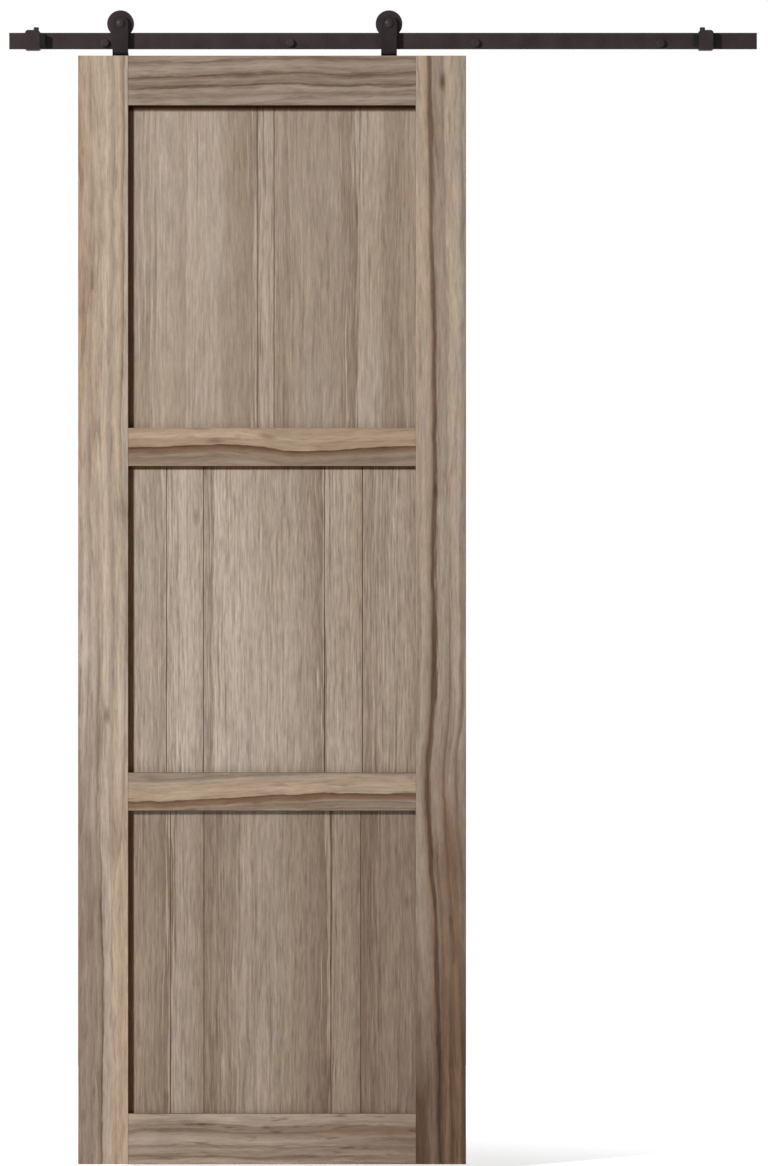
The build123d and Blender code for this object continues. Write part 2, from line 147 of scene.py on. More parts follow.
RIGHT_STILE_HIGH = (
    (-50, "fawn"), (-28, "sand"), (-20, "fawn"), (-14, "sand"), (-6, "tan"), (-2, "brown"),
    (1, "walnut"), (4, "brown"), (7, "driftwood"), (18, "stone"), (24, "driftwood"), (28, "fawn"),
    (34, "sand"), (50, "fawn"), (58, "driftwood"), (62, "stone"), (72, "stone"),
)
TOP_RAIL = (
    (-50, "driftwood"), (-34, "stone"), (-27, "hazel"), (-22, "driftwood"), (-14, "stone"),
    (-10, "walnut"), (-7, "hazel"), (2, "driftwood"), (7, "brown"), (9, "walnut"), (12, "hazel"),
    (16, "driftwood"), (26, "stone"), (33, "driftwood"), (37, "brown"), (40, "driftwood"),
    (50, "driftwood"),
)
UPPER_MID_RAIL = (
    (-45, "driftwood"), (-28, "driftwood"), (-22, "hazel"), (-14, "driftwood"), (-6, "russet"),
    (-2, "walnut"), (-0.6, "umber"), (0.6, "walnut"), (1.8, "tan"), (12, "tan"), (20, "sand"),
    (28, "tan"), (45, "tan"),
)
LOWER_MID_RAIL = (
    (-40, "driftwood"), (-26, "driftwood"), (-20, "hazel"), (-13, "driftwood"), (-9, "russet"),
    (-4, "russet"), (-1.2, "walnut"), (0.2, "walnut"), (1.5, "tan"), (12, "sand"), (24, "tan"),
    (33, "fawn"), (40, "hazel"), (44, "driftwood"), (60, "driftwood"),
)
BOTTOM_RAIL = (
    (-50, "stone"), (-42, "fawn"), (-38, "driftwood"), (-34, "brown"), (-31, "driftwood"),
    (-20, "stone"), (-15, "hazel"), (-12, "stone"), (-2, "fawn"), (8, "driftwood"), (13, "brown"),
    (16, "driftwood"), (24, "hazel"), (27, "stone"), (37, "fawn"), (50, "stone"),
)
BOTTOM_RAIL_RIGHT = (
    (-50, "hazel"), (-36, "hazel"), (-28, "driftwood"), (-20, "brown"), (-14, "hazel"),
    (-4, "brown"), (4, "hazel"), (14, "russet"), (20, "brown"), (26, "hazel"), (36, "driftwood"),
    (50, "driftwood"),
)
DOWEL = ((-1000, "cream"), (1000, "sand"))

# A plan says how the grain of a piece runs and looks:
#   level                     whether the grain runs along x, and not up
#   seed                      where in the noise the piece is cut from
#   shade                     lightness of the whole piece
#   drift, wobble             slow and quick wander of the grain, in mm
#   rings, streaks            how close the dark rings lie, and how dark they are
#   lenses, pores, knots      strength of lens-shaped streaks, open pores and pin knots
#   contrast, flecks, mottle  how far fibres, short flecks and patches change the tone
#   fray                      how ragged the edges of the growth bands are, in mm
#   breaks                    how often the fibres break along their length
#   flow                      wander of the grain off a straight line, as (share along, mm)
#   bands                     growth bands, as (share along, bands)
STILE_GRAIN = {"level": False, "wobble": 5, "fray": 8, "flecks": 0.45, "knots": 0.9, "breaks": 3.0}
RAIL_GRAIN = {"level": True, "pores": 0.35, "flecks": 0.35, "knots": 0.7, "breaks": 3.0}
PANEL_GRAIN = {"level": False, "wobble": 4, "rings": 12, "lenses": 0.12, "breaks": 1.0, "flow": ()}

FRAME_WOOD = {
    "left_stile": {
        **STILE_GRAIN, "seed": 3.1, "shade": 1.0, "drift": 8, "rings": 9, "streaks": 0.45,
        "lenses": 0.35, "pores": 0.35, "contrast": 0.55, "mottle": 0.35,
        "flow": ((0, 0), (0.15, 3), (0.32, -2), (0.5, 2), (0.65, -3), (0.85, 2), (1, 0)),
        "bands": ((0.28, LEFT_STILE_LOW), (0.42, LEFT_STILE_MID), (0.72, LEFT_STILE_HIGH)),
    },
    "right_stile": {
        **STILE_GRAIN, "seed": 8.4, "shade": 0.985, "drift": 12, "rings": 11, "streaks": 0.32,
        "lenses": 0.3, "pores": 0.4, "contrast": 0.5, "mottle": 0.4,
        "flow": (
            (0, -1), (0.15, -7), (0.21, -11.5), (0.28, -20), (0.35, -25), (0.4, -17), (0.45, -13),
            (0.52, -12), (0.65, -12), (0.8, -15.6), (1, -21),
        ),
        "bands": (
            (0.10, RIGHT_STILE_LOW), (0.27, RIGHT_STILE_TURN), (0.46, RIGHT_STILE_MID),
            (0.80, RIGHT_STILE_HIGH),
        ),
    },
    "top_rail": {
        **RAIL_GRAIN, "seed": 5.2, "shade": 0.95, "drift": 16, "wobble": 6, "rings": 10,
        "streaks": 0.36, "lenses": 0.35, "contrast": 0.42, "mottle": 0.5, "fray": 10,
        "flecks": 0.4, "breaks": 3.2,
        "flow": ((0, -5), (0.2, -3), (0.4, 2), (0.55, 5), (0.75, 3), (1, 5)),
        "bands": ((0.5, TOP_RAIL),),
    },
    "upper_mid_rail": {
        **RAIL_GRAIN, "seed": 1.7, "shade": 0.985, "drift": 6, "wobble": 6, "rings": 8,
        "streaks": 0.35, "lenses": 0.4, "pores": 0.3, "contrast": 0.4, "mottle": 0.45, "fray": 7,
        "flow": (
            (0, -2), (0.18, 1), (0.33, 4), (0.45, 0), (0.58, -8), (0.72, -5), (0.85, -1), (1, 1.5),
        ),
        "bands": ((0.5, UPPER_MID_RAIL),),
    },
    "lower_mid_rail": {
        **RAIL_GRAIN, "seed": 6.6, "shade": 0.97, "drift": 7, "wobble": 8, "rings": 9,
        "streaks": 0.45, "lenses": 0.45, "contrast": 0.5, "mottle": 0.4, "fray": 7,
        "flow": ((0, -21), (0.2, -17), (0.4, -10.5), (0.6, -6), (0.7, -3), (0.8, -3), (1, -5.5)),
        "bands": ((0.5, LOWER_MID_RAIL),),
    },
    "bottom_rail": {
        **RAIL_GRAIN, "seed": 9.3, "shade": 0.985, "drift": 12, "wobble": 6, "rings": 10,
        "streaks": 0.38, "lenses": 0.8, "contrast": 0.4, "mottle": 0.4, "fray": 12, "breaks": 3.2,
        "flow": ((0, 0), (0.25, 2), (0.5, -2), (0.75, 2), (1, -1)),
        "bands": ((0.45, BOTTOM_RAIL), (1.0, BOTTOM_RAIL_RIGHT)),
    },
    "frame_dowels": {
        "level": True, "seed": 4.4, "shade": 1.05, "drift": 4, "wobble": 1, "rings": 6,
        "streaks": 0.1, "lenses": 0.1, "pores": 0.2, "contrast": 0.4, "mottle": 0.2, "fray": 4,
        "flecks": 0.2, "knots": 0.0, "breaks": 1.0, "flow": (),
        "bands": ((0.5, DOWEL),),
    },
}

# In the place of bands a panel has stops, as (share of the clear width, tone). Its staves are the
# joint lines, and its margins are mm of painted shadow at the left and at the top, and the tint of
# that painted shadow at the top.
PANEL_WOOD = {
    "upper_panel": {
        **PANEL_GRAIN, "seed": 2.2, "shade": 1.0, "drift": 16, "streaks": 0.15, "pores": 0.25,
        "contrast": 0.6, "mottle": 0.15, "fray": 80, "flecks": 0.7, "knots": 0.5,
        "staves": (0.448, 0.507), "margins": (11, 11, "deep_shade_tint"),
        "stops": (
            (0, "stone"), (0.06, "stone"), (0.1, "fawn"), (0.15, "fawn"), (0.19, "stone"),
            (0.205, "stone"), (0.215, "fawn"), (0.31, "fawn"), (0.335, "stone"),
            (0.44, "driftwood"), (0.449, "fawn"), (0.5, "fawn"), (0.508, "driftwood"),
            (0.6, "stone"), (0.74, "stone"), (0.765, "hazel"), (0.785, "driftwood"), (0.8, "fawn"),
            (0.87, "fawn"), (0.9, "driftwood"), (1, "stone"),
        ),
    },
    "middle_panel": {
        **PANEL_GRAIN, "seed": 7.9, "shade": 0.945, "drift": 14, "streaks": 0.12, "pores": 0.4,
        "contrast": 0.9, "mottle": 0.1, "fray": 70, "flecks": 0.95, "knots": 0.6,
        "staves": (0.132, 0.261, 0.682, 0.815), "margins": (11, 7, "margin_shade_tint"),
        "stops": (
            (0, "fawn"), (0.06, "fawn"), (0.125, "stone"), (0.133, "fawn"), (0.2, "pale_grey"),
            (0.255, "fawn"), (0.262, "driftwood"), (0.31, "pale_grey"), (0.38, "pale_grey"),
            (0.47, "fawn"), (0.56, "fawn"), (0.64, "stone"), (0.678, "hazel"), (0.684, "fawn"),
            (0.81, "fawn"), (0.817, "driftwood"), (0.87, "stone"), (0.95, "fawn"), (1, "stone"),
        ),
    },
    "lower_panel": {
        **PANEL_GRAIN, "seed": 4.7, "shade": 0.955, "drift": 14, "streaks": 0.15, "pores": 0.4,
        "contrast": 0.9, "mottle": 0.1, "fray": 70, "flecks": 0.85, "knots": 0.5,
        # The top strip of painted shadow here takes the warm tint, which darkens it only a little
        "staves": (0.146, 0.263, 0.705, 0.809), "margins": (10, 5, "warm_tint"),
        "stops": (
            (0, "driftwood"), (0.08, "driftwood"), (0.14, "hazel"), (0.148, "stone"),
            (0.21, "stone"), (0.26, "driftwood"), (0.266, "hazel"), (0.34, "driftwood"),
            (0.44, "stone"), (0.5, "stone"), (0.58, "driftwood"), (0.66, "hazel"), (0.7, "brown"),
            (0.708, "driftwood"), (0.76, "driftwood"), (0.805, "hazel"), (0.812, "brown"),
            (0.88, "hazel"), (1, "hazel"),
        ),
    },
}


def swatch(name, description, default):
    """A colour that a user can change."""
    return FloatVectorProperty(
        name=name, description=description, subtype="COLOR", size=3, min=0, max=1, default=default
    )


class WoodLook(bpy.types.PropertyGroup):
    """Tones of the growth bands, tints and depth of the weathered wood."""

    cream: swatch("Cream", "Palest warm bands", tone(190, 170, 150))
    sand: swatch("Sand", "Pale warm bands", tone(177, 156, 135))
    tan: swatch("Tan", "Yellower bands", tone(165, 143, 121))
    pale_grey: swatch("Pale grey", "Palest weathered bands", tone(181, 166, 152))
    fawn: swatch("Fawn", "Pale weathered bands", tone(169, 153, 138))
    stone: swatch("Stone", "Weathered bands", tone(157, 141, 126))
    driftwood: swatch("Driftwood", "Middle bands", tone(146, 129, 113))
    hazel: swatch("Hazel", "Darker middle bands", tone(134, 116, 101))
    brown: swatch("Brown", "Dark bands", tone(120, 100, 85))
    russet: swatch("Russet", "Dark reddish bands", tone(126, 98, 78))
    walnut: swatch("Walnut", "Darker bands", tone(103, 83, 67))
    umber: swatch("Umber", "Heartwood bands", tone(87, 67, 52))
    bark: swatch("Bark", "Darkest growth lines", tone(64, 48, 39))
    streak_tint: swatch("Streak tint", "What a dark streak does to the wood", (0.40, 0.31, 0.25))
    pore_tint: swatch("Pore tint", "What an open pore does to the wood", (0.60, 0.54, 0.48))
    grey_tint: swatch("Weathered tint", "Zones where the wood has weathered", (0.97, 0.97, 0.98))
    warm_tint: swatch("Warm tint", "Zones where the wood is fresher", (1.0, 0.965, 0.91))
    joint_tint: swatch("Joint tint", "Dirt in the joint lines between staves", (0.34, 0.27, 0.22))
    # Painted shade: darkens the inner edges of the frame, the reveals that lie in shadow
    edge_shade_tint: swatch(
        "Edge tint", "Dark stain on the inner edges of the frame", (0.40, 0.26, 0.17)
    )
    # Painted shadow: darkens a strip beside the left stile on each panel
    margin_shade_tint: swatch("Margin tint", "Stain that gathers beside a panel", (0.62, 0.42, 0.28))
    # Painted shadow: a dark strip on the upper panel under the top rail
    deep_shade_tint: swatch(
        "Deep margin tint", "Stain that gathers under the top rail", (0.19, 0.105, 0.06)
    )
    roughness: FloatProperty(
        name="Roughness", description="Roughness of the brushed surface", subtype="FACTOR",
        min=0, max=1, default=0.82,
    )
    grain_depth: FloatProperty(
        name="Grain depth", description="Height of the brushed grain", unit="LENGTH", min=0,
        default=0.00035,
    )


class SteelLook(bpy.types.PropertyGroup):
    """Colours of the metal and rubber, and the screw threads."""

    coat: swatch(
        "Track coat", "Powder coat on the track, spacers, stops and wheels",
        (0.0262, 0.0181, 0.0187),
    )
    hanger_coat: swatch("Hanger coat", "Powder coat on the straps", (0.0148, 0.0098, 0.0097))
    fastener: swatch("Black fasteners", "Black oxide on bolts and screws", (0.029, 0.0215, 0.022))
    zinc: swatch("Zinc", "Zinc plate on nuts, bearings and wood screws", (0.52, 0.53, 0.55))
    rubber: swatch("Rubber", "Rubber of the bumpers and seals", (0.007, 0.0062, 0.006))
    thread_pitch: FloatProperty(
        name="Thread pitch", description="Pitch of the coarse wood thread", unit="LENGTH",
        min=0.0005, default=0.0030,
    )
    thread_steps: IntProperty(
        name="Thread steps", description="Steps in each turn of a thread", min=8, default=28,
    )


class StageLook(bpy.types.PropertyGroup):
    """Camera, lamps and floor."""

    distance: FloatProperty(
        name="Camera distance", description="From the camera to the front of the leaf",
        unit="LENGTH", min=0.5, default=14.0,
    )
    key_power: FloatProperty(
        name="Key lamp", description="Power of the lamp at the left", unit="POWER", min=0,
        default=785,
    )
    key_size: FloatProperty(
        name="Key size", description="Width of the lamp at the left", unit="LENGTH", min=0.05,
        default=0.9,
    )
    back_power: FloatProperty(
        name="Back lamps", description="Power of the lamps behind", unit="POWER", min=0,
        default=80,
    )
    back_size: FloatProperty(
        name="Back size", description="Width of the lamps behind", unit="LENGTH", min=0.05,
        default=1.6,
    )
    fill: FloatProperty(
        name="Fill", description="Strength of the soft light from all round", min=0, default=0.13,
    )
    floor_gap: FloatProperty(
        name="Floor gap", description="From the leaf down to the floor", unit="LENGTH", min=0,
        default=0.012,
    )


def add_node(tree, kind, inputs=None, **settings):
    """A shader node with its settings, and with each input set or linked."""
    made = tree.nodes.new(kind)
    for key, value in settings.items():
        setattr(made, key, value)
    for key, value in (inputs or {}).items():
        if isinstance(value, bpy.types.NodeSocket):
            tree.links.new(value, made.inputs[key])
        else:
            made.inputs[key].default_value = value
    return made


def maths(tree, operation, first, second=0.0, third=0.0):
    """One step of arithmetic on sockets or numbers."""
    inputs = {0: first, 1: second, 2: third}
    return add_node(tree, "ShaderNodeMath", inputs, operation=operation).outputs[0]


def vector_maths(tree, operation, first, second):
    """One step of arithmetic on vectors."""
    inputs = {0: first, 1: second}
    return add_node(tree, "ShaderNodeVectorMath", inputs, operation=operation).outputs[0]


def combine(tree, x, y=0.0, z=0.0):
    """A vector from three values."""
    return add_node(tree, "ShaderNodeCombineXYZ", {0: x, 1: y, 2: z}).outputs[0]


def spread(tree, value, low, high, out_low, out_high):
    """Maps a range onto another, held at the ends."""
    inputs = {0: value, 1: low, 2: high, 3: out_low, 4: out_high}
    return add_node(tree, "ShaderNodeMapRange", inputs).outputs[0]


def blend(tree, factor, first, second, kind="MIX"):
    """Mixes two colours."""
    inputs = {0: factor, 6: first, 7: second}
    mixer = add_node(tree, "ShaderNodeMix", inputs, data_type="RGBA", blend_type=kind)
    return mixer.outputs[2]


def off_centre(tree, value, reach, onto=0.0):
    """Adds a noise, centred on nought and scaled to a reach, to a value."""
    return maths(tree, "MULTIPLY_ADD", maths(tree, "SUBTRACT", value, 0.5), reach, onto)


def noise(tree, vector, scale, detail, roughness=0.55):
    """Plain noise: scale is the count in a metre."""
    return add_node(
        tree, "ShaderNodeTexNoise",
        {"Vector": vector, "Scale": scale, "Detail": detail, "Roughness": roughness},
    ).outputs["Fac"]


def grain_noise(tree, vector, name, breaks):
    """Noise drawn out along the grain."""
    across, along, detail, roughness = GRAIN_NOISES[name]
    if name in BROKEN_NOISES:
        along *= breaks
    stretched = vector_maths(tree, "MULTIPLY", vector, (across, across, along))
    return noise(tree, stretched, 1.0, detail, roughness)


def opaque(colour):
    """Adds full alpha to a colour."""
    return (*colour, 1.0)


def start_material(name):
    """A new material with its node tree, shader and Object coordinates."""
    made = bpy.data.materials.new(name)
    made.use_nodes = True
    tree = made.node_tree
    shader = tree.nodes["Principled BSDF"]
    coords = add_node(tree, "ShaderNodeTexCoord").outputs["Object"]
    return made, tree, shader, coords


def add_bump(tree, shader, height, strength, depth):
    """Relief from a height, depth metres at the most."""
    inputs = {"Strength": strength, "Distance": depth, "Height": height}
    bump = add_node(tree, "ShaderNodeBump", inputs)
    tree.links.new(bump.outputs[0], shader.inputs["Normal"])


def dress(node, material):
    """Puts a material on a node of the frame."""
    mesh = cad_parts[node].data
    mesh.materials.clear()
    mesh.materials.append(material)


def flow_shift(tree, share, points):
    """How far the grain wanders off its straight line, in metres: points are (share along, mm)."""
    reach = 0.04
    made = add_node(tree, "ShaderNodeFloatCurve", {"Value": share})
    curve = made.mapping.curves[0]
    placed = [(place, 0.5 + shift * MM / (2 * reach)) for place, shift in points]
    curve.points[0].location = placed[0]
    curve.points[1].location = placed[-1]
    for place in placed[1:-1]:
        curve.points.new(*place)
    made.mapping.update()
    return off_centre(tree, made.outputs[0], 2 * reach)


def stave_jump(tree, across, staves):
    """A different shift of the grain in each stave."""
    share = spread(tree, across, OPENING_LEFT, OPENING_RIGHT, 0.0, 1.0)
    ramp = add_node(tree, "ShaderNodeValToRGB", {0: share})
    ramp.color_ramp.interpolation = "CONSTANT"
    marks = ramp.color_ramp.elements
    marks[0].color = (0.1, 0.1, 0.1, 1.0)
    marks[1].position = staves[0]
    marks[1].color = (0.4, 0.4, 0.4, 1.0)
    for number, mark in enumerate(staves[1:]):
        shade = 0.55 + 0.13 * number
        marks.new(mark).color = (shade, shade, shade, 1.0)
    return vector_maths(tree, "MULTIPLY", ramp.outputs[0], (3.1, 1.9, 7.7))


def grain_lines(tree, plan, place, low, high):
    """The share along a piece, metres across its growth bands, and a vector for its noises."""
    along_axis, across_axis = (0, 2) if plan["level"] else (2, 0)
    along = place[along_axis]
    share = spread(tree, along, low[along_axis], high[along_axis], 0.0, 1.0)
    middle = plan.get("middle", (low[across_axis] + high[across_axis]) / 2)
    across = maths(tree, "SUBTRACT", place[across_axis], middle)
    if plan["flow"]:
        across = maths(tree, "SUBTRACT", across, flow_shift(tree, share, plan["flow"]))

    depth = maths(tree, "SUBTRACT", place[1], low.y)
    squared = maths(tree, "MULTIPLY", depth, depth)
    across = maths(tree, "MULTIPLY_ADD", depth, RING_LEAN, across)
    across = maths(tree, "MULTIPLY_ADD", squared, RING_CURVE, across)

    start = combine(
        tree,
        maths(tree, "ADD", across, plan["seed"] * SEED_ACROSS),
        place[1],
        maths(tree, "ADD", along, plan["seed"] * SEED_ALONG),
    )
    shift = 0.0
    for name in ("drift", "wobble"):
        wander = grain_noise(tree, start, name, plan["breaks"])
        shift = off_centre(tree, wander, plan[name] * MM, shift)
    across = maths(tree, "ADD", across, shift)
    grain = vector_maths(tree, "ADD", start, combine(tree, shift))
    if "staves" in plan:
        grain = vector_maths(tree, "ADD", grain, stave_jump(tree, place[0], plan["staves"]))
    return share, across, grain


def band_ramp(tree, across, bands):
    """Growth bands across the grain: bands are (mm from the middle, tone)."""
    look = bpy.context.scene.barn_wood
    first, last = bands[0][0], bands[-1][0]
    share = spread(tree, across, first * MM, last * MM, 0.0, 1.0)
    ramp = add_node(tree, "ShaderNodeValToRGB", {0: share})
    marks = ramp.color_ramp.elements
    marks[0].color = opaque(getattr(look, bands[0][1]))
    marks[1].color = opaque(getattr(look, bands[-1][1]))
    for place, name in bands[1:-1]:
        marks.new((place - first) / (last - first)).color = opaque(getattr(look, name))
    return ramp.outputs[0]


def band_colour(tree, plan, share, across, grain, threads):
    """Growth bands with frayed edges, from one set of bands to the next along the piece."""
    for name in ("fibre", "cord"):
        across = off_centre(tree, threads[name], plan["fray"] * MM, across)
    sets = plan["bands"]
    colour = band_ramp(tree, across, sets[0][1])
    for (from_share, _), (to_share, bands) in zip(sets, sets[1:]):
        ragged = off_centre(tree, grain_noise(tree, grain, "step", plan["breaks"]), 0.5, share)
        step = spread(tree, ragged, from_share, to_share, 0.0, 1.0)
        colour = blend(tree, step, colour, band_ramp(tree, across, bands))
    return colour


def grain_marks(tree, plan, grain):
    """Where dark rings, lens-shaped streaks, open pores and pin knots lie."""
    growth, zone, lens, pore = (
        grain_noise(tree, grain, name, plan["breaks"]) for name in ("ring", "zone", "lens", "pore")
    )
    growth = maths(tree, "FRACT", maths(tree, "MULTIPLY", growth, plan["rings"]))
    zone = spread(tree, zone, 0.42, 0.62, 0.1, 1.0)
    streaks = maths(tree, "MULTIPLY", maths(tree, "POWER", growth, 3.0), zone)
    streaks = maths(tree, "MULTIPLY", streaks, plan["streaks"])
    lenses = spread(tree, lens, 0.58, 0.72, 0.0, plan["lenses"])
    pores = spread(tree, pore, 0.60, 0.70, 0.0, plan["pores"])
    cells = vector_maths(tree, "MULTIPLY", grain, KNOT_CELLS)
    cells = add_node(tree, "ShaderNodeTexVoronoi", {"Vector": cells, "Scale": 1.0}, feature="F1")
    knots = spread(tree, cells.outputs["Distance"], 0.02, 0.09, plan["knots"], 0.0)
    return streaks, lenses, pores, knots


def tone_swing(tree, plan, threads):
    """How fibres, flecks and patches change the tone, as a grey to multiply with."""
    swing = 1.0
    for name, reach in (
        ("fibre", plan["contrast"]),
        ("cord", 0.6 * plan["contrast"]),
        ("fleck", plan["flecks"]),
        ("mottle", plan["mottle"]),
        ("fine", 0.55 * plan["contrast"]),
        ("hair", 0.45),
        ("broad", 0.35),
    ):
        swing = off_centre(tree, threads[name], reach, swing)
    swing = maths(tree, "MULTIPLY", swing, plan["shade"])
    return combine(tree, swing, swing, swing)


def add_dirt_and_painted_shade(tree, plan, colour, place, fleck, low, high):
    """Dirt in the joint lines, and painted shade on inner edges and along a panel's left and top.
    """
    look = bpy.context.scene.barn_wood
    dirt_and_shade = []
    if "staves" in plan:
        off_middle = maths(tree, "SUBTRACT", place[1], (low.y + high.y) / 2)
        off_middle = maths(tree, "ABSOLUTE", off_middle)
        half = (high.y - low.y) / 2
        dirt = spread(tree, off_middle, half - 0.45 * MM, half - 0.05 * MM, 1.0, 0.0)
        dirt_and_shade.append((dirt, "joint_tint"))
    # Painted shade on the inner edges of the frame, where the reveals lie in shadow
    for axis, limit, outward in plan.get("painted_edge_shade", ()):
        start, full = (limit - inset * MM * outward for inset in (0.35, 0.15))
        dirt_and_shade.append((spread(tree, place[axis], start, full, 0.0, 1.0), "edge_shade_tint"))
    # Painted shadow in strips beside the left stile and under the rail above a panel
    for axis, limit, outward, width, tint in plan.get("painted_margin_shade", ()):
        ragged = off_centre(tree, fleck, 2 * MM, place[axis])
        start, full = (limit - share_in * width * MM * outward for share_in in (1.1, 0.7))
        dirt_and_shade.append((spread(tree, ragged, start, full, 0.0, 1.0), tint))
    for factor, tint in dirt_and_shade:
        colour = blend(tree, factor, colour, opaque(getattr(look, tint)), "MULTIPLY")
    return colour


def wood_material(node, plan):
    """Brushed, weathered wood after a plan: growth bands, wandering grain, streaks and pores."""
    look = bpy.context.scene.barn_wood
    made, tree, shader, coords = start_material(f"{node}_wood")
    low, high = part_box(node)
    place = add_node(tree, "ShaderNodeSeparateXYZ", {0: coords}).outputs
    share, across, grain = grain_lines(tree, plan, place, low, high)
    threads = {name: grain_noise(tree, grain, name, plan["breaks"]) for name in THREADS}
    streaks, lenses, pores, knots = grain_marks(tree, plan, grain)

    colour = band_colour(tree, plan, share, across, grain, threads)
    colour = blend(tree, 1.0, colour, tone_swing(tree, plan, threads), "MULTIPLY")
    for factor, tint in (
        (spread(tree, threads["broad"], 0.50, 0.68, 0.0, 0.7), look.grey_tint),
        (spread(tree, threads["broad"], 0.50, 0.32, 0.0, 0.7), look.warm_tint),
        (streaks, look.streak_tint),
        (lenses, look.streak_tint),
        (pores, look.pore_tint),
        (knots, look.streak_tint),
    ):
        colour = blend(tree, factor, colour, opaque(tint), "MULTIPLY")
    colour = add_dirt_and_painted_shade(tree, plan, colour, place, threads["fleck"], low, high)
    tree.links.new(colour, shader.inputs["Base Color"])

    relief = maths(tree, "MULTIPLY", threads["fine"], 0.4)
    relief = maths(tree, "MULTIPLY_ADD", threads["fibre"], 0.6, relief)
    relief = maths(tree, "MULTIPLY_ADD", threads["hair"], 0.25, relief)
    for hollow in (streaks, pores):
        relief = maths(tree, "SUBTRACT", relief, maths(tree, "MULTIPLY", hollow, 0.4))
    add_bump(tree, shader, relief, 0.45, look.grain_depth)
    rough = off_centre(tree, threads["fibre"], 0.25, look.roughness)
    tree.links.new(rough, shader.inputs["Roughness"])
    shader.inputs["Specular IOR Level"].default_value = DULL_SHINE
    return made


def two_tones(tree, shader, pattern, limits, tones, roughness):
    """Two tones and a swing of roughness that follow one noise."""
    share = spread(tree, pattern, *limits, 0.0, 1.0)
    tree.links.new(blend(tree, share, *map(opaque, tones)), shader.inputs["Base Color"])
    tree.links.new(spread(tree, pattern, 0.3, 0.7, *roughness), shader.inputs["Roughness"])


def coated_steel(name, colour, roughness):
    """Satin powder coat with orange peel and a cloudy gloss."""
    made, tree, shader, coords = start_material(name)
    cloud = noise(tree, coords, 28.0, 4.0, 0.6)
    peel = noise(tree, coords, 900.0, 2.0)
    paler = tuple(value * 1.5 + 0.002 for value in colour)
    swing = (roughness - 0.06, roughness + 0.08)
    two_tones(tree, shader, cloud, (0.35, 0.7), (colour, paler), swing)
    add_bump(tree, shader, peel, 0.25, 0.12 * MM)
    shader.inputs["Specular IOR Level"].default_value = DULL_SHINE
    return made


def plated_steel(name, colour):
    """Zinc plate: bright metal with a mottled passivated skin."""
    made, tree, shader, coords = start_material(name)
    mottle = noise(tree, coords, 420.0, 5.0, 0.65)
    darker = tuple(value * 0.62 for value in colour)
    two_tones(tree, shader, mottle, (0.35, 0.65), (darker, colour), (0.46, 0.28))
    shader.inputs["Metallic"].default_value = 1.0
    return made


def moulded_rubber(name, colour):
    """Matt rubber with a fine moulded skin."""
    made, tree, shader, coords = start_material(name)
    skin = noise(tree, coords, 1400.0, 3.0)
    bloom = noise(tree, coords, 120.0, 3.0)
    paler = tuple(value * 1.9 for value in colour)
    two_tones(tree, shader, bloom, (0.4, 0.7), (colour, paler), (0.72, 0.86))
    add_bump(tree, shader, skin, 0.3, 0.1 * MM)
    shader.inputs["Specular IOR Level"].default_value = RUBBER_SHINE
    return made


def turned(bm, profile, steps):
    """A turned shape about the z axis: profile is (radius, height) in mm, from end to end."""
    verts = [bm.verts.new((radius * MM, 0, height * MM)) for radius, height in profile]
    edges = [bm.edges.new(pair) for pair in zip(verts, verts[1:])]
    bmesh.ops.spin(
        bm, geom=[*verts, *edges], cent=(0, 0, 0), axis=(0, 0, 1), angle=math.tau, steps=steps,
        use_merge=True,
    )
    bmesh.ops.remove_doubles(bm, verts=bm.verts, dist=0.001 * MM)


def cut_flats(bm, half_flats):
    """Cuts six flats round the z axis, half_flats mm from it."""
    for number in range(6):
        angle = math.tau * (number + 0.5) / 6
        outward = Vector((math.cos(angle), math.sin(angle), 0))
        cut = bmesh.ops.bisect_plane(
            bm, geom=[*bm.verts, *bm.edges, *bm.faces], plane_co=outward * half_flats * MM,
            plane_no=outward, clear_outer=True,
        )
        edges = [item for item in cut["geom_cut"] if isinstance(item, bmesh.types.BMEdge)]
        bmesh.ops.edgeloop_fill(bm, edges=edges)
    bmesh.ops.remove_doubles(bm, verts=bm.verts, dist=0.002 * MM)


def wood_thread(bm, root, crest, start, end, point):
    """A thread ridge down the z axis from start to end, in mm, that thins out along the point."""
    look = bpy.context.scene.barn_steel
    pitch = look.thread_pitch / MM
    half = 0.32 * pitch
    profile = ((root, start - half), (crest, start), (root, start + half))
    before = set(bm.verts)
    ridge = bm.faces.new([bm.verts.new((radius * MM, 0, z * MM)) for radius, z in profile])
    turns = (start - end) / pitch
    steps = int(turns * look.thread_steps)
    bmesh.ops.spin(
        bm, geom=[ridge, *ridge.edges, *ridge.verts], cent=(0, 0, 0), axis=(0, 0, 1),
        dvec=(0, 0, (end - start) * MM / steps), angle=math.tau * turns, steps=steps,
    )
    wide, tip = point
    for vert in bm.verts:
        if vert not in before and vert.co.z < wide * MM:
            thinner = max(0.08, (vert.co.z / MM - tip) / (wide - tip))
            bmesh.ops.scale(bm, vec=(thinner, thinner, 1), verts=[vert])


def ring(bm, radius, height, count):
    """A ring of edges about the z axis, sizes in mm."""
    level = Matrix.Translation((0, 0, height * MM))
    made = bmesh.ops.create_circle(bm, radius=radius * MM, segments=count, matrix=level)
    return made["verts"], list({edge for vert in made["verts"] for edge in vert.link_edges})


def loft(bm, loops):
    """Skins between neighbouring loops of edges."""
    for first, second in zip(loops, loops[1:]):
        bmesh.ops.bridge_loops(bm, edges=[*first, *second])


def set_out(bm, turn, places):
    """Turns a finished shape, and sets a copy of it at each place."""
    bmesh.ops.transform(bm, matrix=turn, verts=bm.verts)
    first = [*bm.verts, *bm.edges, *bm.faces]
    sets = [first] + [bmesh.ops.duplicate(bm, geom=first)["geom"] for _ in places[1:]]
    for items, place in zip(sets, places):
        verts = [item for item in items if isinstance(item, bmesh.types.BMVert)]
        bmesh.ops.translate(bm, vec=place, verts=verts)


